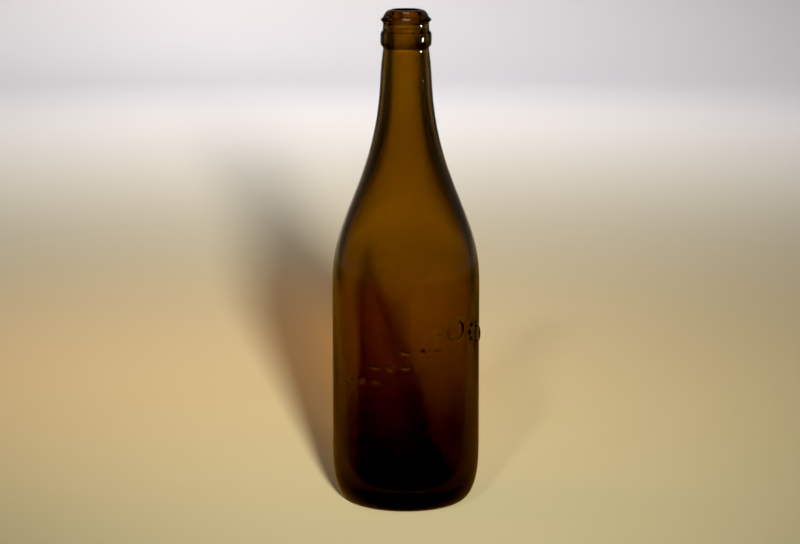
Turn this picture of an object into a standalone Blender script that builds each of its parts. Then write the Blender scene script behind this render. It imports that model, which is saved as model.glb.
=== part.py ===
"""A thick-walled amber soda bottle with a crown finish.

The glassmaker gathers it twice: the body is blown in a mould, with its shoulder, neck and base, and the
finish (sealing lip, groove and collar) is a second gather lapped round the end of the neck. Each gather
is a solid of its own. The bottle stands on z = 0 with its axis on Z, and its front faces -Y.
"""

import math

import bmesh
import bpy
from mathutils import Matrix, Vector

# Driving dimensions, in metres.
HEIGHT = 0.2840
BODY_RADIUS = 0.0422
BORE_RADIUS = 0.0080
SHOULDER_WALL = 0.0045
HEEL_WALL = 0.0080
FLOOR_THICKNESS = 0.0080
LAP_GAP = 0.0003

# Base and heel.
FOOT_OUTER_RADIUS = 0.0275
FOOT_INNER_RADIUS = 0.0205
PUSH_UP = 0.0040
FLOOR_CROWN = 0.0028
HEEL_HEIGHT = 0.0340
HEEL_FULLNESS = 2.6

# Shoulder and neck.
SHOULDER_LOW = 0.1300
SHOULDER_HIGH = 0.2500
SHOULDER_HIGH_RADIUS = 0.0145
SHOULDER_LOW_PULL = 0.0395
SHOULDER_HIGH_PULL = 0.0640
NECK_FLARE = 0.02
NECK_TOP_RADIUS = 0.0130
INNER_NECK_RADIUS = 0.0092

# The stretch below the shoulder where the wall thickens inwards.
THICKENING_PULL = 0.0300

# The end of the neck inside the finish.
FINISH_BOTTOM = 0.2634
NECK_END_BOTTOM_RADIUS = 0.0112
NECK_END_TOP_RADIUS = 0.0105
NECK_END_TOP = 0.2806

# The finish, from the rim down.
RIM_LAND_INNER_RADIUS = 0.0085
RIM_LAND_OUTER_RADIUS = 0.0093
MOUTH_EDGE_DEPTH = 0.0008
LIP_RADIUS = 0.0144
LIP_WIDEST = 0.2787
LIP_CROWN_PULL_OUT = 0.0035
LIP_CROWN_PULL_DOWN = 0.0012
LIP_SIDE_PULL_IN = 0.0026
LIP_SIDE_PULL_UP = 0.0016
GROOVE_RADIUS = 0.0131
GROOVE_TOP = 0.2770
GROOVE_BOTTOM = 0.2718
COLLAR_RADIUS = 0.0146
COLLAR_EDGE = 0.0016

# The raised festoon, placed by angle from the front and height: it climbs to a roundel, then falls.
RELIEF = 0.0008
ROUNDEL_ANGLE = 42.0
ROUNDEL_HEIGHT = 0.1060
ROUNDEL_RADIUS = 0.0060
ROUNDEL_WIRE = 0.0010
CLIMB_PER_DEGREE = 0.00037
CLIMB_ANGLES = (-48.0, -36.0, -24.0, -12.0, 0.0, 12.0, 24.0)
FALL_PER_DEGREE = 0.00017
FALL_ANGLES = (60.0, 75.0)
PENDANT_ANGLE = 90.0
BEAD_RADIUS = 0.0022
BAR_HALF_LENGTH = 0.0034
BAR_HALF_WIDTH = 0.0010
BAR_SPREAD = 0.0042
PENDANT_HALF_WIDTH = 0.0026
PENDANT_HALF_HEIGHT = 0.0052

# Facets.
TURN_STEPS = 64
SHOULDER_POINTS = 15
WALL_POINTS = 5
HEEL_POINTS = 8
LIP_POINTS = 6
EDGE_POINTS = 4


def bezier(start, start_pull, end_pull, end, count):
    """Points on a cubic curve through (radius, height) pairs, with both ends."""
    points = []
    for i in range(count):
        t = i / (count - 1)
        s = 1 - t
        weights = (s**3, 3 * s * s * t, 3 * s * t * t, t**3)
        corners = (start, start_pull, end_pull, end)
        points.append(tuple(sum(w * c[k] for w, c in zip(weights, corners)) for k in (0, 1)))
    return points


def arc(centre, radius_across, radius_up, start, end, count):
    """Points on an ellipse about (radius, height), from one angle to another in degrees."""
    points = []
    for i in range(count):
        angle = math.radians(start + (end - start) * i / (count - 1))
        across = centre[0] + radius_across * math.cos(angle)
        points.append((across, centre[1] + radius_up * math.sin(angle)))
    return points


def heel(outer_radius, foot_radius, low, high, count):
    """The full, rounded corner between the wall and the foot, from the wall down to the foot."""
    points = []
    for i in range(count):
        angle = math.pi / 2 * i / (count - 1)
        across = math.cos(angle) ** (2 / HEEL_FULLNESS)
        down = math.sin(angle) ** (2 / HEEL_FULLNESS)
        radius = foot_radius + (outer_radius - foot_radius) * across
        points.append((radius, high - (high - low) * down))
    return points


def push_up(rim_radius, rim_height, crown_height, count):
    """The shallow dome under the base, from its rim in to the axis."""
    points = []
    for i in range(1, count + 1):
        share = i / count
        rise = (1 - math.cos(math.pi * share)) / 2
        radius = rim_radius * (1 - share)
        points.append((radius, rim_height + (crown_height - rim_height) * rise))
    return points


def shoulder(low_radius, high_radius, low, high, count):
    """The long S of the shoulder, from the neck down to the body wall."""
    start_pull = (high_radius + NECK_FLARE * SHOULDER_HIGH_PULL, high - SHOULDER_HIGH_PULL)
    end_pull = (low_radius, low + SHOULDER_LOW_PULL)
    return bezier((high_radius, high), start_pull, end_pull, (low_radius, low), count)


def thickening(high_radius, low_radius, low, high, count):
    """The cavity's side, drawing in smoothly as the wall grows thicker downwards."""
    start_pull = (high_radius, high - THICKENING_PULL)
    end_pull = (low_radius, low + THICKENING_PULL)
    return bezier((high_radius, high), start_pull, end_pull, (low_radius, low), count)


def inner_wall():
    """The cavity, from the middle of the floor up to the end of the bore."""
    high_radius = BODY_RADIUS - SHOULDER_WALL
    low_radius = BODY_RADIUS - HEEL_WALL
    shoulder_top = SHOULDER_HIGH - SHOULDER_WALL
    crown = PUSH_UP + FLOOR_THICKNESS
    corner = crown - FLOOR_CROWN
    down = [(BORE_RADIUS, NECK_END_TOP)]
    down += shoulder(high_radius, INNER_NECK_RADIUS, SHOULDER_LOW, shoulder_top, SHOULDER_POINTS)
    down += thickening(high_radius, low_radius, HEEL_HEIGHT, SHOULDER_LOW, WALL_POINTS)[1:-1]
    down += heel(low_radius, FOOT_INNER_RADIUS, corner, HEEL_HEIGHT, HEEL_POINTS)
    down += push_up(FOOT_INNER_RADIUS, corner, crown, EDGE_POINTS)
    return down[::-1]


def outer_wall():
    """The outside, from the end of the neck down to the middle of the base."""
    points = [(NECK_END_TOP_RADIUS, NECK_END_TOP)]
    points += [(NECK_END_BOTTOM_RADIUS, FINISH_BOTTOM - LAP_GAP)]
    points += [(NECK_TOP_RADIUS, FINISH_BOTTOM - LAP_GAP)]
    points += shoulder(
        BODY_RADIUS, SHOULDER_HIGH_RADIUS, SHOULDER_LOW, SHOULDER_HIGH, SHOULDER_POINTS
    )
    points += heel(BODY_RADIUS, FOOT_OUTER_RADIUS, 0.0, HEEL_HEIGHT, HEEL_POINTS)
    points += [(FOOT_INNER_RADIUS, 0.0)]
    points += push_up(FOOT_INNER_RADIUS, 0.0, PUSH_UP, EDGE_POINTS)
    return points


def finish_outside():
    """Lip, groove and collar, from the inner edge of the rim down to the collar's lower edge."""
    land_in = (RIM_LAND_INNER_RADIUS, HEIGHT)
    land_out = (RIM_LAND_OUTER_RADIUS, HEIGHT)
    crown_pull = (RIM_LAND_OUTER_RADIUS + LIP_CROWN_PULL_OUT, HEIGHT - LIP_CROWN_PULL_DOWN)
    side_pull = (LIP_RADIUS - LIP_SIDE_PULL_IN, LIP_WIDEST + LIP_SIDE_PULL_UP)
    points = [land_in]
    points += bezier(land_out, crown_pull, side_pull, (LIP_RADIUS, LIP_WIDEST), LIP_POINTS)
    points += arc((GROOVE_RADIUS, LIP_WIDEST), LIP_RADIUS - GROOVE_RADIUS,
                  LIP_WIDEST - GROOVE_TOP, -30, -90, 3)
    points += [(GROOVE_RADIUS, GROOVE_BOTTOM)]
    collar_core = COLLAR_RADIUS - COLLAR_EDGE
    points += arc((collar_core, GROOVE_BOTTOM - COLLAR_EDGE), COLLAR_EDGE, COLLAR_EDGE,
                  90, 0, EDGE_POINTS)
    points += arc((collar_core, FINISH_BOTTOM + COLLAR_EDGE), COLLAR_EDGE, COLLAR_EDGE,
                  0, -90, EDGE_POINTS)
    return points


def finish_inside():
    """The socket round the neck's end and the mouth above it, from the collar up to the rim."""
    top = NECK_END_TOP + LAP_GAP
    edge_width = RIM_LAND_INNER_RADIUS - BORE_RADIUS
    edge_centre = (RIM_LAND_INNER_RADIUS, HEIGHT - MOUTH_EDGE_DEPTH)
    points = [(NECK_END_BOTTOM_RADIUS + LAP_GAP, FINISH_BOTTOM)]
    points += [(NECK_END_TOP_RADIUS + LAP_GAP, top)]
    points += [(BORE_RADIUS, top)]
    points += arc(edge_centre, edge_width, MOUTH_EDGE_DEPTH, 180, 90, EDGE_POINTS)[:-1]
    return points


def profile_object(name, points, closed):
    """An open or closed outline in the XZ plane as an edge mesh."""
    mesh = bpy.data.meshes.new(name)
    count = len(points)
    edges = [(i, i + 1) for i in range(count - 1)]
    if closed:
        edges.append((count - 1, 0))
    mesh.from_pydata([(radius, 0.0, height) for radius, height in points], edges, [])
    return bpy.data.objects.new(name, mesh)


def turned(name, points, closed, collection):
    """A profile turned once round Z."""
    piece = profile_object(name, points, closed)
    collection.objects.link(piece)
    screw = piece.modifiers.new("turn", "SCREW")
    screw.axis = "Z"
    screw.angle = math.tau
    screw.steps = TURN_STEPS
    screw.render_steps = TURN_STEPS
    screw.use_merge_vertices = True
    screw.merge_threshold = 0.00001
    screw.use_smooth_shade = True
    return piece


def on_the_wall(angle, height):
    """The place on the body wall at an angle from the front, facing out, sunk RELIEF into the glass."""
    turn = Matrix.Rotation(math.radians(angle), 4, "Z")
    return turn @ Matrix.Translation(Vector((0.0, -(BODY_RADIUS - RELIEF), height)))


def festoon_height(angle):
    """The height of the festoon's middle line at an angle from the front."""
    if angle < ROUNDEL_ANGLE:
        return ROUNDEL_HEIGHT - CLIMB_PER_DEGREE * (ROUNDEL_ANGLE - angle)
    return ROUNDEL_HEIGHT - FALL_PER_DEGREE * (angle - ROUNDEL_ANGLE)


def add_pebble(bm, place, half_length, half_width):
    """A smooth oval swelling that stands RELIEF proud of the wall."""
    size = Matrix.Diagonal((half_length, 2 * RELIEF, half_width, 1.0))
    upright = Matrix.Rotation(math.pi / 2, 4, "X")
    bmesh.ops.create_uvsphere(
        bm, u_segments=12, v_segments=6, radius=1.0, matrix=place @ size @ upright
    )


def add_roundel(bm, place):
    """A plain raised hoop."""
    ring_steps = 24
    wire_steps = 6
    rows = []
    for i in range(ring_steps):
        turn = math.tau * i / ring_steps
        row = []
        for j in range(wire_steps):
            roll = math.tau * j / wire_steps
            reach = ROUNDEL_RADIUS + ROUNDEL_WIRE * math.cos(roll)
            point = (reach * math.cos(turn), 2 * RELIEF * math.sin(roll), reach * math.sin(turn))
            row.append(bm.verts.new(place @ Vector(point)))
        rows.append(row)
    for i in range(ring_steps):
        here, there = rows[i], rows[(i + 1) % ring_steps]
        for j in range(wire_steps):
            k = (j + 1) % wire_steps
            bm.faces.new((here[j], here[k], there[k], there[j]))


def add_bars(bm, angle):
    """Two short level bars, one above the other."""
    for side in (-1, 1):
        place = on_the_wall(angle, festoon_height(angle) + side * BAR_SPREAD)
        add_pebble(bm, place, BAR_HALF_LENGTH, BAR_HALF_WIDTH)


def add_bead(bm, angle):
    """One round bead."""
    add_pebble(bm, on_the_wall(angle, festoon_height(angle)), BEAD_RADIUS, BEAD_RADIUS)


def festoon(collection):
    """Pairs of bars and single beads in turn, with the roundel between them and a pendant at the end."""
    bm = bmesh.new()
    for i, angle in enumerate(CLIMB_ANGLES + FALL_ANGLES):
        if i % 2 == 0:
            add_bars(bm, angle)
        else:
            add_bead(bm, angle)
    add_roundel(bm, on_the_wall(ROUNDEL_ANGLE, ROUNDEL_HEIGHT))
    end = on_the_wall(PENDANT_ANGLE, festoon_height(PENDANT_ANGLE))
    add_pebble(bm, end, PENDANT_HALF_WIDTH, PENDANT_HALF_HEIGHT)
    bmesh.ops.recalc_face_normals(bm, faces=bm.faces)
    mesh = bpy.data.meshes.new("festoon")
    bm.to_mesh(mesh)
    bm.free()
    piece = bpy.data.objects.new("festoon", mesh)
    piece.hide_render = True
    piece.display_type = "WIRE"
    collection.objects.link(piece)
    return piece


def glass(name, tint, roughness):
    """Deep amber bottle glass."""
    material = bpy.data.materials.new(name)
    material.use_nodes = True
    shader = material.node_tree.nodes["Principled BSDF"]
    shader.inputs["Base Color"].default_value = (*tint, 1.0)
    shader.inputs["Metallic"].default_value = 0.0
    shader.inputs["Roughness"].default_value = roughness
    shader.inputs["IOR"].default_value = 1.52
    shader.inputs["Transmission Weight"].default_value = 1.0
    return material


def bottle_body(parts, tools):
    """The blown gather: base, body, shoulder and neck, with the festoon raised on it."""
    body = turned("bottle_body", inner_wall() + outer_wall(), False, parts)
    raised = body.modifiers.new("raised_festoon", "BOOLEAN")
    raised.operation = "UNION"
    raised.object = festoon(tools)
    body.data.materials.append(glass("amber_body_glass", (0.17, 0.055, 0.006), 0.06))
    return body


def applied_finish(parts):
    """The second gather: lip, groove and collar in one ring round the end of the neck."""
    finish = turned("applied_finish", finish_inside() + finish_outside(), True, parts)
    finish.data.materials.append(glass("amber_finish_glass", (0.21, 0.085, 0.010), 0.08))
    return finish


def main():
    for leftover in list(bpy.data.objects):
        bpy.data.objects.remove(leftover)
    parts = bpy.data.collections.new("glass_soda_bottle")
    tools = bpy.data.collections.new("shaping_tools")
    bpy.context.scene.collection.children.link(parts)
    bpy.context.scene.collection.children.link(tools)
    bottle_body(parts, tools)
    applied_finish(parts)


main()
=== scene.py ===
"""The looks of the amber soda bottle: one skin of glass in place of the body and finish, on a pale sweep."""
import math

import bpy
import numpy as np
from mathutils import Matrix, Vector, noise


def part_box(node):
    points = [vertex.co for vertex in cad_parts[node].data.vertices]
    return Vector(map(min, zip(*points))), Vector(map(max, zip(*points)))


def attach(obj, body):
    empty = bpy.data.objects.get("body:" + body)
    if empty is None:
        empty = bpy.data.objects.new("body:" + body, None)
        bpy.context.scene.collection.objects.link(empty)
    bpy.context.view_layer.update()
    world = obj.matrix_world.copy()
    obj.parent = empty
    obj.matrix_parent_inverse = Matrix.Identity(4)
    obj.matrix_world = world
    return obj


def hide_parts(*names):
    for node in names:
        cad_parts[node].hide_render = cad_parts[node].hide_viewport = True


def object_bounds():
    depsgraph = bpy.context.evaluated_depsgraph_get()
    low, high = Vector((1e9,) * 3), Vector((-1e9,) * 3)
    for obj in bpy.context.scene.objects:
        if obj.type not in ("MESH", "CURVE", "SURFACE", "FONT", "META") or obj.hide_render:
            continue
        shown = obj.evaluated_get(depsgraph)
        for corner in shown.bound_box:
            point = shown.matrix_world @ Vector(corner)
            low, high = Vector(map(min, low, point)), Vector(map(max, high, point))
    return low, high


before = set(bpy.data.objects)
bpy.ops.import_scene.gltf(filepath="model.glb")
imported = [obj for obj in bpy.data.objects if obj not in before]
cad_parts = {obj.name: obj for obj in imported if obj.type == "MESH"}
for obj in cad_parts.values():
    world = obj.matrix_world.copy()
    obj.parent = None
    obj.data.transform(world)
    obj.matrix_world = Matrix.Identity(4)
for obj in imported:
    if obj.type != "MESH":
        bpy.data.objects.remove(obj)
cad_low, cad_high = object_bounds()

# Sizes read from the frame, in metres.
finish_low, finish_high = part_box("applied_finish")
HEIGHT = cad_high.z
BODY_RADIUS = -cad_low.x
RELIEF = cad_high.x - BODY_RADIUS
COLLAR_RADIUS = finish_high.x
FINISH_BOTTOM = finish_low.z

# The rest of the bottle's shape, as in the CAD model.
BORE_RADIUS = 0.0080
SHOULDER_WALL = 0.0045
HEEL_WALL = 0.0080
FLOOR_THICKNESS = 0.0080
FOOT_OUTER_RADIUS = 0.0275
FOOT_INNER_RADIUS = 0.0205
PUSH_UP = 0.0040
FLOOR_CROWN = 0.0028
HEEL_HEIGHT = 0.0340
HEEL_FULLNESS = 2.6
SHOULDER_LOW = 0.1300
SHOULDER_HIGH = 0.2500
SHOULDER_HIGH_RADIUS = 0.0145
SHOULDER_LOW_PULL = 0.0395
SHOULDER_HIGH_PULL = 0.0640
NECK_FLARE = 0.02
NECK_TOP_RADIUS = 0.0130
INNER_NECK_RADIUS = 0.0092
THICKENING_PULL = 0.0300
RIM_LAND_INNER_RADIUS = 0.0085
RIM_LAND_OUTER_RADIUS = 0.0093
MOUTH_EDGE_DEPTH = 0.0008
LIP_RADIUS = 0.0144
LIP_WIDEST = 0.2787
LIP_CROWN_PULL_OUT = 0.0035
LIP_CROWN_PULL_DOWN = 0.0012
LIP_SIDE_PULL_IN = 0.0026
LIP_SIDE_PULL_UP = 0.0016
GROOVE_RADIUS = 0.0131
GROOVE_TOP = 0.2770
GROOVE_BOTTOM = 0.2718

# The softening of the finish's edges, which the lighter CAD profile leaves out.
LAND_EDGE = 0.0003
GROOVE_FILLET = 0.0005
GROOVE_RUN = 0.0020
COLLAR_CORE = 0.0134
COLLAR_FULLNESS = 2.9
WELD_ROLL = 0.0003
NECK_START = 0.0012
EASE = 0.0090

# The raised festoon, by angle from the front in degrees and height.
ROUNDEL_ANGLE = 42.0
ROUNDEL_HEIGHT = 0.1060
ROUNDEL_RADIUS = 0.0060
ROUNDEL_WIRE = 0.0010
CLIMB_PER_DEGREE = 0.00037
CLIMB_ANGLES = (-48.0, -36.0, -24.0, -12.0, 0.0, 12.0, 24.0)
FALL_PER_DEGREE = 0.00017
FALL_ANGLES = (60.0, 75.0)
PENDANT_ANGLE = 90.0
BEAD_RADIUS = 0.0022
BAR_HALF_LENGTH = 0.0034
BAR_HALF_WIDTH = 0.0010
BAR_SPREAD = 0.0042
PENDANT_HALF_WIDTH = 0.0026
PENDANT_HALF_HEIGHT = 0.0052

# The fine surface.
FINE_STEP = 0.0006
COARSE_STEP = 0.0022
ORNAMENT_BAND = (0.066, 0.118)
ORNAMENT_ARC = (-56.0, 99.0)
OUTER_WAVE = 0.00012
INNER_WAVE = 0.00045
SEAM_ANGLES = (-72.0, 108.0)
SEAM_HEIGHT = 0.00018
SEAM_HALF_WIDTH = 0.0006

# The glass: its colour through its depth, and its tint at each surface.
GLASS_IOR = 1.52
DEPTH_COLOUR = (0.79, 0.74, 0.08, 1.0)
DEPTH_DENSITY = 560.0
CLEAR_TINT = (0.82, 0.58, 0.22, 1.0)
# The tint low down, darker towards the bottom.
LOW_DARK_TINT = (0.44, 0.30, 0.12, 1.0)

# The darkening of the glass's tint towards the bottom, by height in metres, and the scales of the surface's
# noises.
DARKENING_LOW = 0.055
DARKENING_HIGH = 0.100
DARKENING_UNEVENNESS = 0.040
DARKENING_NOISE = 38.0
SMUDGE_NOISE = 55.0
SCUFF_NOISE = 190.0
PIT_NOISE = 420.0

# The wear, by the heights where each ring of it fades in and out.
FOOT_WEAR_TOP = 0.012
HEEL_WEAR = ((0.020, 0.030), (0.036, 0.050))
SHOULDER_WEAR = ((0.112, 0.124), (0.128, 0.146))
SHOULDER_WEAR_STRENGTH = 0.22
SMUDGE_ROUGHNESS = (0.02, 0.06)
WORN_ROUGHNESS = 0.26

# The sweep's paper, by distance from the bottle in metres.
PAPER_WARM = (0.62, 0.54, 0.30, 1.0)
PAPER_COOL = (0.80, 0.78, 0.80, 1.0)
SWEEP_DROP = 0.0002
PAPER_WARM_REACH = 0.2
PAPER_COOL_REACH = 2.4

# The darkest light that still shows in the picture.
BLACK_LEVEL = (0.012, 0.006, 0.004)

# The amber card round the foot, a painted reflection seen only in the glass's gloss.
PAINTED_REFLECTION_TINT = (0.20, 0.085, 0.01, 1.0)
CARD_INNER_RADIUS = 0.029
CARD_FADE_START = 0.5
CARD_OUTER_RADIUS = 2.0

# The lamps.
KEY_SIZE = 0.16
KEY_SPREAD = 32.0
WARM_WHITE = (1.0, 0.97, 0.92)
COOL_WHITE = (0.98, 0.97, 1.0)
SOFT_WARM = (1.0, 0.87, 0.68)
AMBER = (1.0, 0.40, 0.10)

# The washes overhead, which light the sweep and not the bottle, by the place round it and the power.
WASH_RADIUS = 1.2
WASH_HEIGHT = 2.3
WASH_REACH = 2.3
WASH_SIZE = 0.8
WASH_SPREAD = 90.0
SIDE_WASHES = ((0.0, 1.0), (60.0, 2.2), (120.0, 2.2), (240.0, 2.2), (300.0, 2.2))

# The camera.
CAMERA_LENS = 125.6
CAMERA_ELEVATION = 10.0
CAMERA_AIM = (-0.0034, 0.0, 0.1336)
CAMERA_DISTANCE = 1.6


# Outlines, as (radius, height) pairs.

def bezier(start, start_pull, end_pull, end, count):
    t = np.linspace(0.0, 1.0, count)[:, None]
    s = 1.0 - t
    corners = [np.array(c) for c in (start, start_pull, end_pull, end)]
    return s**3 * corners[0] + 3 * s * s * t * corners[1] + 3 * s * t * t * corners[2] + t**3 * corners[3]


def arc(centre, radius_across, radius_up, start, end, count):
    angle = np.radians(np.linspace(start, end, count))
    across = centre[0] + radius_across * np.cos(angle)
    return np.column_stack((across, centre[1] + radius_up * np.sin(angle)))


def line(start, end):
    """A straight run, with its points COARSE_STEP apart or closer."""
    length = math.dist(start, end)
    count = max(2, math.ceil(length / COARSE_STEP) + 1)
    share = np.linspace(0.0, 1.0, count)[:, None]
    return np.array(start) * (1 - share) + np.array(end) * share


def heel(outer_radius, foot_radius, low, high, count):
    angle = np.linspace(0.0, math.pi / 2, count)
    across = np.cos(angle).clip(0.0) ** (2 / HEEL_FULLNESS)
    down = np.sin(angle) ** (2 / HEEL_FULLNESS)
    radius = foot_radius + (outer_radius - foot_radius) * across
    return np.column_stack((radius, high - (high - low) * down))


def push_up(rim_radius, rim_height, crown_height, count):
    share = np.linspace(0.0, 1.0, count)
    rise = (1 - np.cos(math.pi * share)) / 2
    return np.column_stack((rim_radius * (1 - share), rim_height + (crown_height - rim_height) * rise))


def shoulder(low_radius, high_radius, low, high, count):
    start_pull = (high_radius + NECK_FLARE * SHOULDER_HIGH_PULL, high - SHOULDER_HIGH_PULL)
    end_pull = (low_radius, low + SHOULDER_LOW_PULL)
    return bezier((high_radius, high), start_pull, end_pull, (low_radius, low), count)


def eased(wall):
    """A wall outline, top to bottom, with the sudden changes in its bend evened out over EASE each way."""
    radius, height = wall[::-1, 0], wall[::-1, 1]
    total = np.zeros(len(radius))
    weights = 0.0
    for share in np.linspace(-1.0, 1.0, 21):
        weight = 1.0 - share**2
        reach = np.minimum(EASE, np.minimum(height - height[0], height[-1] - height))
        total += weight * np.interp(height + share * reach, height, radius)
        weights += weight
    return np.column_stack((total / weights, height))[::-1]


def finish_outline():
    """Lip, groove and barrel-shaped collar, from the rim down to the weld on the neck."""
    land_out = (RIM_LAND_OUTER_RADIUS, HEIGHT)
    crown_pull = (RIM_LAND_OUTER_RADIUS + LIP_CROWN_PULL_OUT, HEIGHT - LIP_CROWN_PULL_DOWN)
    side_pull = (LIP_RADIUS - LIP_SIDE_PULL_IN, LIP_WIDEST + LIP_SIDE_PULL_UP)
    lip_end = (LIP_RADIUS, LIP_WIDEST)
    land = [(RIM_LAND_INNER_RADIUS, HEIGHT), (RIM_LAND_OUTER_RADIUS - LAND_EDGE, HEIGHT)]
    lip = bezier(land_out, crown_pull, side_pull, lip_end, 16)[1:]
    tuck = (GROOVE_RADIUS, LIP_WIDEST)
    under = arc(tuck, LIP_RADIUS - GROOVE_RADIUS, LIP_WIDEST - GROOVE_TOP, -14, -70, 7)
    groove = bezier((GROOVE_RADIUS, GROOVE_TOP - GROOVE_FILLET), (GROOVE_RADIUS, GROOVE_TOP - GROOVE_RUN),
                    (GROOVE_RADIUS, GROOVE_BOTTOM + GROOVE_FILLET),
                    (GROOVE_RADIUS + GROOVE_FILLET, GROOVE_BOTTOM), 9)
    middle = (GROOVE_BOTTOM + FINISH_BOTTOM) / 2
    half = (GROOVE_BOTTOM - FINISH_BOTTOM) / 2
    turn = np.radians(np.linspace(76, -84, 26))
    swell = COLLAR_RADIUS - COLLAR_CORE
    barrel = np.column_stack((
        COLLAR_CORE + swell * np.cos(turn) ** (2 / COLLAR_FULLNESS),
        middle + half * np.sign(turn) * np.abs(np.sin(turn)) ** (2 / COLLAR_FULLNESS)))
    weld = [(NECK_TOP_RADIUS + WELD_ROLL, FINISH_BOTTOM - WELD_ROLL)]
    return np.vstack((land, lip, under, groove, barrel, weld))


def outer_outline():
    """From the rim down the outside to the middle of the base."""
    neck = line((NECK_TOP_RADIUS, FINISH_BOTTOM - NECK_START), (SHOULDER_HIGH_RADIUS, SHOULDER_HIGH))[:-1]
    slope = shoulder(BODY_RADIUS, SHOULDER_HIGH_RADIUS, SHOULDER_LOW, SHOULDER_HIGH, 62)
    band_low, band_high = ORNAMENT_BAND
    above = line((BODY_RADIUS, SHOULDER_LOW), (BODY_RADIUS, band_high))[1:-1]
    count = round((band_high - band_low) / FINE_STEP)
    band = [(BODY_RADIUS, z) for z in np.linspace(band_high, band_low, count)]
    below = line((BODY_RADIUS, band_low), (BODY_RADIUS, HEEL_HEIGHT))[1:-1]
    corner = heel(BODY_RADIUS, FOOT_OUTER_RADIUS, 0.0, HEEL_HEIGHT, 30)
    foot = line((FOOT_OUTER_RADIUS, 0.0), (FOOT_INNER_RADIUS, 0.0))[1:]
    dome = push_up(FOOT_INNER_RADIUS, 0.0, PUSH_UP, 14)[1:]
    wall = eased(np.vstack((neck, slope, above, band, below)))
    return np.vstack((finish_outline(), wall, corner, foot, dome))


def inner_outline():
    """From the mouth's inner edge down the cavity to the middle of its floor."""
    edge_centre = (RIM_LAND_INNER_RADIUS, HEIGHT - MOUTH_EDGE_DEPTH)
    mouth = arc(edge_centre, RIM_LAND_INNER_RADIUS - BORE_RADIUS, MOUTH_EDGE_DEPTH, 112, 180, 5)
    shoulder_top = SHOULDER_HIGH - SHOULDER_WALL
    crown = PUSH_UP + FLOOR_THICKNESS
    corner_low = crown - FLOOR_CROWN
    wall_high = (BODY_RADIUS - SHOULDER_WALL, SHOULDER_LOW)
    wall_low = (BODY_RADIUS - HEEL_WALL, HEEL_HEIGHT)
    bore = line((BORE_RADIUS, HEIGHT - 2 * MOUTH_EDGE_DEPTH), (INNER_NECK_RADIUS, shoulder_top))[:-1]
    slope = shoulder(wall_high[0], INNER_NECK_RADIUS, SHOULDER_LOW, shoulder_top, 50)
    high_pull = (wall_high[0], wall_high[1] - THICKENING_PULL)
    low_pull = (wall_low[0], wall_low[1] + THICKENING_PULL)
    wall = bezier(wall_high, high_pull, low_pull, wall_low, 44)[1:-1]
    side = eased(np.vstack((bore, slope, wall)))
    corner = heel(wall_low[0], FOOT_INNER_RADIUS, corner_low, HEEL_HEIGHT, 18)
    dome = push_up(FOOT_INNER_RADIUS, corner_low, crown, 12)[1:]
    return np.vstack((mouth, side, corner, dome))


# The raised and wavy surface.

def column_angles():
    """Angles from the front, in radians: close together across the ornament, wider round the back."""
    start, end = np.radians(ORNAMENT_ARC)
    fine = round((end - start) * BODY_RADIUS / FINE_STEP)
    coarse = round((math.tau - (end - start)) * BODY_RADIUS / COARSE_STEP)
    front = np.linspace(start, end, fine, endpoint=False)
    back = np.linspace(end, start + math.tau, coarse, endpoint=False)
    return np.concatenate((front, back))


def festoon_height(angle):
    if angle < ROUNDEL_ANGLE:
        return ROUNDEL_HEIGHT - CLIMB_PER_DEGREE * (ROUNDEL_ANGLE - angle)
    return ROUNDEL_HEIGHT - FALL_PER_DEGREE * (angle - ROUNDEL_ANGLE)


def pebble(angle, height, at_angle, at_height, half_length, half_width):
    """How far an oval swelling stands out of the wall, as an ellipsoid sunk RELIEF into it."""
    across = BODY_RADIUS * (angle - math.radians(at_angle)) / half_length
    up = (height - at_height) / half_width
    return 2 * RELIEF * np.sqrt((1 - across**2 - up**2).clip(0.0)) - RELIEF


def roundel(angle, height):
    """How far the plain hoop stands out of the wall."""
    across = BODY_RADIUS * (angle - math.radians(ROUNDEL_ANGLE))
    reach = np.hypot(across, height - ROUNDEL_HEIGHT)
    roll = (reach - ROUNDEL_RADIUS) / ROUNDEL_WIRE
    return 2 * RELIEF * np.sqrt((1 - roll**2).clip(0.0)) - RELIEF


def ornament(angle, height):
    """The festoon's relief over the whole wall: pairs of bars and single beads, a roundel and a pendant."""
    swellings = [roundel(angle, height)]
    for i, at in enumerate(CLIMB_ANGLES + FALL_ANGLES):
        middle = festoon_height(at)
        if i % 2 == 0:
            for side in (-1, 1):
                bar = middle + side * BAR_SPREAD
                swellings.append(pebble(angle, height, at, bar, BAR_HALF_LENGTH, BAR_HALF_WIDTH))
        else:
            swellings.append(pebble(angle, height, at, middle, BEAD_RADIUS, BEAD_RADIUS))
    end = festoon_height(PENDANT_ANGLE)
    swellings.append(pebble(angle, height, PENDANT_ANGLE, end, PENDANT_HALF_WIDTH, PENDANT_HALF_HEIGHT))
    return np.max(swellings, axis=0).clip(0.0)


def seam(angle, height):
    """Two faint mould seams, up the body and shoulder and fading out on the neck."""
    ridge = 0.0
    for at in SEAM_ANGLES:
        away = (angle - math.radians(at) + math.pi) % math.tau - math.pi
        ridge = ridge + np.exp(-((BODY_RADIUS * away / SEAM_HALF_WIDTH) ** 2))
    fade = np.clip((SHOULDER_HIGH - height) / 0.02, 0, 1) * np.clip((height - 0.004) / 0.01, 0, 1)
    return SEAM_HEIGHT * ridge * fade


def waviness(angle, height, size, seed):
    """Slow swells in the glass, from 0 to 1."""
    across = np.column_stack((np.cos(angle).ravel(), np.sin(angle).ravel()))
    up = height.ravel() / size * 0.45
    reach = BODY_RADIUS / size
    values = [noise.noise(Vector((x * reach + seed, y * reach, z))) for (x, y), z in zip(across, up)]
    return (0.5 + 0.5 * np.array(values).reshape(angle.shape)).clip(0, 1)


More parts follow.
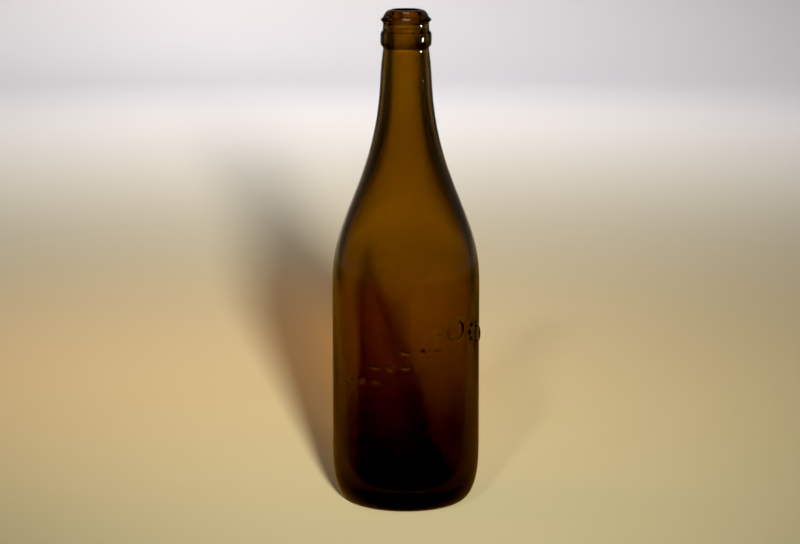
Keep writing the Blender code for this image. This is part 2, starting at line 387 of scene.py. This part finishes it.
def skin_points(outline, angles, shape):
    """Every point of a turned skin, row by row, after its surface function has moved it."""
    angle, radius = np.meshgrid(angles, outline[:, 0])
    height = np.meshgrid(angles, outline[:, 1])[1]
    radius = shape(angle, radius, height)
    return np.stack((radius * np.sin(angle), -radius * np.cos(angle), height), axis=-1)


def outer_shape(angle, radius, height):
    on_body = np.clip((FINISH_BOTTOM - 0.004 - height) / 0.02, 0, 1) * np.clip(height / HEEL_HEIGHT, 0, 1)
    wave = waviness(angle, height, 0.017, 3.0)
    raised = ornament(angle, height) + seam(angle, height) * (radius / BODY_RADIUS)
    limit = BODY_RADIUS + RELIEF
    return np.minimum(radius - on_body * OUTER_WAVE * wave + raised * on_body.clip(0, 1), limit)


def inner_shape(angle, radius, height):
    share = np.clip(radius / BODY_RADIUS, 0, 1) * np.clip((HEIGHT - 0.01 - height) / 0.03, 0, 1)
    wave = waviness(angle, height, 0.026, 11.0) - 0.5
    return radius + 2 * INNER_WAVE * wave * share


def glass_skin():
    """The whole bottle as one closed skin: down the outside, and up the inside to the same rim."""
    angles = column_angles()
    outer = skin_points(outer_outline()[:-1], angles, outer_shape)
    inner = skin_points(inner_outline()[:-1], angles, inner_shape)[::-1]
    rows = np.concatenate((inner, outer))
    columns = len(angles)
    points = rows.reshape(-1, 3).tolist()
    faces = []
    for i in range(len(rows) - 1):
        for j in range(columns):
            k = (j + 1) % columns
            faces.append((i * columns + j, (i + 1) * columns + j, (i + 1) * columns + k, i * columns + k))
    floor_middle = len(points)
    points.append((0.0, 0.0, inner_outline()[-1][1]))
    base_middle = len(points)
    points.append((0.0, 0.0, outer_outline()[-1][1]))
    last = (len(rows) - 1) * columns
    for j in range(columns):
        k = (j + 1) % columns
        faces.append((floor_middle, j, k))
        faces.append((base_middle, last + k, last + j))
    mesh = bpy.data.meshes.new("bottle_glass")
    mesh.from_pydata(points, [], faces)
    mesh.update()
    mesh.shade_smooth()
    return mesh


# Materials.

def new_material(name):
    material = bpy.data.materials.new(name)
    material.use_nodes = True
    tree = material.node_tree
    return material, tree, tree.nodes["Principled BSDF"]


def noise_at(tree, place, scale, detail):
    texture = tree.nodes.new("ShaderNodeTexNoise")
    texture.inputs["Scale"].default_value = scale
    texture.inputs["Detail"].default_value = detail
    tree.links.new(place.outputs["Object"], texture.inputs["Vector"])
    return texture.outputs["Fac"]


def eased_share(tree, value, low, high, start=0.0, end=1.0):
    """A value's smooth change from start to end as it goes from low to high."""
    share = tree.nodes.new("ShaderNodeMapRange")
    share.interpolation_type = "SMOOTHSTEP"
    for name, number in (("From Min", low), ("From Max", high), ("To Min", start), ("To Max", end)):
        share.inputs[name].default_value = number
    tree.links.new(value, share.inputs["Value"])
    return share.outputs["Result"]


def combined(tree, operation, first, second):
    node = tree.nodes.new("ShaderNodeMath")
    node.operation = operation
    tree.links.new(first, node.inputs[0])
    tree.links.new(second, node.inputs[1])
    return node.outputs[0]


def height_of(tree, place):
    split = tree.nodes.new("ShaderNodeSeparateXYZ")
    tree.links.new(place.outputs["Object"], split.inputs[0])
    return split.outputs["Z"]


def share_above_darkening(tree, place):
    """A share from 0 where the tint is darkened low down to 1 above it, with an uneven edge."""
    lift = tree.nodes.new("ShaderNodeMath")
    lift.operation = "MULTIPLY_ADD"
    lift.inputs[1].default_value = DARKENING_UNEVENNESS
    tree.links.new(noise_at(tree, place, DARKENING_NOISE, 4.0), lift.inputs[0])
    tree.links.new(height_of(tree, place), lift.inputs[2])
    return eased_share(tree, lift.outputs[0], DARKENING_LOW, DARKENING_HIGH)


def ring(tree, height, low_fade, high_fade, strength):
    """A share of strength between two heights, where low_fade and high_fade are where it fades in and out."""
    below = eased_share(tree, height, *low_fade)
    above = eased_share(tree, height, *high_fade, strength, 0.0)
    return combined(tree, "MULTIPLY", below, above)


def rubbed(tree, place):
    """Where shelves and crates have dulled the glass: scuffs on the foot, heel and widest part."""
    height = height_of(tree, place)
    foot = eased_share(tree, height, 0.0, FOOT_WEAR_TOP, 1.0, 0.0)
    low_ring = ring(tree, height, *HEEL_WEAR, 1.0)
    high_ring = ring(tree, height, *SHOULDER_WEAR, SHOULDER_WEAR_STRENGTH)
    rings = combined(tree, "MAXIMUM", foot, combined(tree, "MAXIMUM", low_ring, high_ring))
    scuffs = eased_share(tree, noise_at(tree, place, SCUFF_NOISE, 6.0), 0.42, 0.80)
    return combined(tree, "MULTIPLY", rings, scuffs)


def amber_glass():
    """Deep brown-amber glass, coloured through its depth, darker in tint towards the bottom and rubbed where
    it is widest.
    """
    material, tree, shader = new_material("amber_glass")
    place = tree.nodes.new("ShaderNodeTexCoord")
    tint = tree.nodes.new("ShaderNodeMix")
    tint.data_type = "RGBA"
    # The tint is darker towards the bottom, with an uneven edge.
    tint.inputs["A"].default_value = LOW_DARK_TINT
    tint.inputs["B"].default_value = CLEAR_TINT
    tree.links.new(share_above_darkening(tree, place), tint.inputs["Factor"])
    tree.links.new(tint.outputs["Result"], shader.inputs["Base Color"])
    smudges = eased_share(tree, noise_at(tree, place, SMUDGE_NOISE, 3.0), 0.40, 0.70, *SMUDGE_ROUGHNESS)
    wear = eased_share(tree, rubbed(tree, place), 0.0, 1.0, 0.0, WORN_ROUGHNESS)
    tree.links.new(combined(tree, "MAXIMUM", smudges, wear), shader.inputs["Roughness"])
    bump = tree.nodes.new("ShaderNodeBump")
    bump.inputs["Strength"].default_value = 0.12
    bump.inputs["Distance"].default_value = 0.0002
    tree.links.new(noise_at(tree, place, PIT_NOISE, 5.0), bump.inputs["Height"])
    tree.links.new(bump.outputs["Normal"], shader.inputs["Normal"])
    shader.inputs["Transmission Weight"].default_value = 1.0
    shader.inputs["IOR"].default_value = GLASS_IOR
    depth = tree.nodes.new("ShaderNodeVolumeAbsorption")
    depth.inputs["Color"].default_value = DEPTH_COLOUR
    depth.inputs["Density"].default_value = DEPTH_DENSITY
    tree.links.new(depth.outputs["Volume"], tree.nodes["Material Output"].inputs["Volume"])
    return material


def paper(name, near_tint, near_reach, far_tint, far_reach):
    """Matt paper that changes from one tint to another with the distance from the bottle."""
    material, tree, shader = new_material(name)
    shader.inputs["Roughness"].default_value = 0.9
    place = tree.nodes.new("ShaderNodeTexCoord")
    reach = tree.nodes.new("ShaderNodeVectorMath")
    reach.operation = "LENGTH"
    tree.links.new(place.outputs["Object"], reach.inputs[0])
    tint = tree.nodes.new("ShaderNodeMix")
    tint.data_type = "RGBA"
    tint.inputs["A"].default_value = near_tint
    tint.inputs["B"].default_value = far_tint
    tree.links.new(eased_share(tree, reach.outputs["Value"], near_reach, far_reach), tint.inputs["Factor"])
    tree.links.new(tint.outputs["Result"], shader.inputs["Base Color"])
    return material


# The studio.

def sweep():
    """A floor that turns up into a wall all the way round, far from the bottle."""
    flat = 2.3
    turn = 1.0
    wall = 2.0
    drop = SWEEP_DROP
    outline = [(0.02, -drop), (0.3, -drop), (1.0, -drop), (flat, -drop)]
    for i in range(1, 13):
        angle = math.pi / 2 * i / 12
        outline.append((flat + turn * math.sin(angle), turn * (1 - math.cos(angle)) - drop))
    outline.append((flat + turn, turn + wall))
    columns = 96
    points = [(0.0, 0.0, -drop)]
    for radius, height in outline:
        for j in range(columns):
            angle = math.tau * j / columns
            points.append((radius * math.cos(angle), radius * math.sin(angle), height))
    faces = [(0, 1 + j, 1 + (j + 1) % columns) for j in range(columns)]
    for i in range(len(outline) - 1):
        for j in range(columns):
            k = (j + 1) % columns
            near = 1 + i * columns
            far = near + columns
            faces.append((near + j, far + j, far + k, near + k))
    mesh = bpy.data.meshes.new("sweep")
    mesh.from_pydata(points, [], faces)
    mesh.update()
    mesh.shade_smooth()
    piece = bpy.data.objects.new("sweep", mesh)
    bpy.context.scene.collection.objects.link(piece)
    pale = paper("pale_paper", PAPER_WARM, PAPER_WARM_REACH, PAPER_COOL, PAPER_COOL_REACH)
    piece.data.materials.append(pale)
    piece.cycles.is_caustics_receiver = True


def lamp(name, place, aim, size, spread, power, colour):
    """A round soft lamp at a place, turned to face another. Only its light shows, and not the lamp."""
    data = bpy.data.lights.new(name, "AREA")
    data.shape = "DISK"
    data.size = size
    data.spread = math.radians(spread)
    data.energy = power
    data.color = colour
    piece = bpy.data.objects.new(name, data)
    bpy.context.scene.collection.objects.link(piece)
    piece.location = place
    piece.rotation_mode = "QUATERNION"
    piece.rotation_quaternion = (place - aim).to_track_quat("Z", "Y")
    piece.visible_camera = False
    piece.visible_glossy = False
    piece.visible_transmission = False
    data.cycles.is_caustics_light = True
    return piece


def place_around(azimuth, distance, height):
    """A place round the bottle. Azimuth 0 is at the camera, and 90 at the right."""
    angle = math.radians(azimuth)
    return Vector((distance * math.sin(angle), -distance * math.cos(angle), height))


def front_lamp(name, azimuth, distance, height, dip, power):
    """A lamp in front that throws its shadow behind the bottle: dip is its beam's slope below level."""
    place = place_around(azimuth, distance, height)
    level = Vector((-place.x, -place.y, 0.0)).normalized()
    aim = place + level - Vector((0.0, 0.0, math.tan(math.radians(dip))))
    return lamp(name, place, aim, KEY_SIZE, KEY_SPREAD, power, WARM_WHITE)


def glint_lamp():
    """A small panel close on the right, with a beam so narrow that it shows only on the finish."""
    aim = Vector((0.0, 0.0, GROOVE_BOTTOM))
    piece = lamp("glint", place_around(80.0, 0.20, 0.255), aim, 0.05, 7.0, 0.0014, WARM_WHITE)
    piece.data.shape = "RECTANGLE"
    piece.data.size_y = 0.04
    piece.visible_glossy = True
    piece.visible_diffuse = False


def overhead_lamp():
    """A soft panel above that shows only as a sheen on the lip."""
    piece = lamp("overhead", Vector((0.0, -0.1, 1.6)), Vector((0.0, 0.0, 0.0)), 0.5, 120.0, 1.0, WARM_WHITE)
    piece.visible_glossy = True
    piece.visible_diffuse = False


def painted_reflection_card():
    """A painted reflection: an amber card round the foot that only the gloss of the glass meets, to warm its
    edges.
    """
    columns = 64
    points = []
    faces = []
    for radius in (CARD_INNER_RADIUS, CARD_OUTER_RADIUS):
        for j in range(columns):
            angle = math.tau * j / columns
            points.append((radius * math.cos(angle), radius * math.sin(angle), -SWEEP_DROP / 2))
    for j in range(columns):
        k = (j + 1) % columns
        faces.append((j, columns + j, columns + k, k))
    mesh = bpy.data.meshes.new("painted_reflection_card")
    mesh.from_pydata(points, [], faces)
    piece = bpy.data.objects.new("painted_reflection_card", mesh)
    bpy.context.scene.collection.objects.link(piece)
    # The painted reflection's amber, fading into the far paper's tint.
    mesh.materials.append(paper("painted_reflection_paper", PAINTED_REFLECTION_TINT, CARD_FADE_START, PAPER_WARM, CARD_OUTER_RADIUS))
    piece.visible_camera = False
    piece.visible_diffuse = False
    piece.visible_transmission = False
    piece.visible_shadow = False


def studio():
    sweep()
    front_lamp("key_right", 6.5, 1.95, 0.60, 7.0, 8.2)
    front_lamp("key_left", -11.5, 1.73, 1.20, 25.0, 0.5)
    back = Vector((0.0, 1.5, WASH_HEIGHT))
    lamp("back_wash", back, Vector((0.0, 1.9, 0.0)), WASH_SIZE, 60.0, 5.2, COOL_WHITE)
    lamp("warm_side", Vector((-0.65, 0.1, 1.2)), Vector((-0.13, 0.42, 0.0)), 0.3, 46.0, 0.34, AMBER)
    for azimuth, power in SIDE_WASHES:
        place = place_around(azimuth, WASH_RADIUS, WASH_HEIGHT)
        aim = place_around(azimuth, WASH_REACH, 0.0)
        lamp(f"side_wash_{azimuth:.0f}", place, aim, WASH_SIZE, WASH_SPREAD, power, SOFT_WARM)
    # A painted reflection, warming the glass's edges.
    painted_reflection_card()
    glint_lamp()
    overhead_lamp()
    world = bpy.data.worlds.new("studio")
    world.use_nodes = True
    sky = world.node_tree.nodes["Background"]
    sky.inputs["Color"].default_value = (0.80, 0.82, 1.0, 1.0)
    sky.inputs["Strength"].default_value = 0.03
    bpy.context.scene.world = world


def camera():
    """Ten degrees above level, square on to the front."""
    data = bpy.data.cameras.new("camera")
    data.lens = CAMERA_LENS
    data.sensor_width = 36.0
    data.clip_start = 0.05
    data.clip_end = 20.0
    piece = bpy.data.objects.new("camera", data)
    bpy.context.scene.collection.objects.link(piece)
    elevation = math.radians(CAMERA_ELEVATION)
    back = Vector((0.0, -math.cos(elevation), math.sin(elevation)))
    piece.location = Vector(CAMERA_AIM) + back * CAMERA_DISTANCE
    piece.rotation_mode = "QUATERNION"
    piece.rotation_quaternion = back.to_track_quat("Z", "Y")
    bpy.context.scene.camera = piece


camera()
studio()
skin = bpy.data.objects.new("bottle_glass", glass_skin())
bpy.context.scene.collection.objects.link(skin)
skin.data.materials.append(amber_glass())
skin.cycles.is_caustics_caster = True
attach(skin, "root")
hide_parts("bottle_body", "applied_finish")

scene = bpy.context.scene
scene.view_settings.view_transform = "Standard"
scene.view_settings.use_curve_mapping = True
scene.view_settings.curve_mapping.black_level = BLACK_LEVEL
scene.cycles.max_bounces = 24
scene.cycles.transmission_bounces = 24
scene.cycles.glossy_bounces = 12
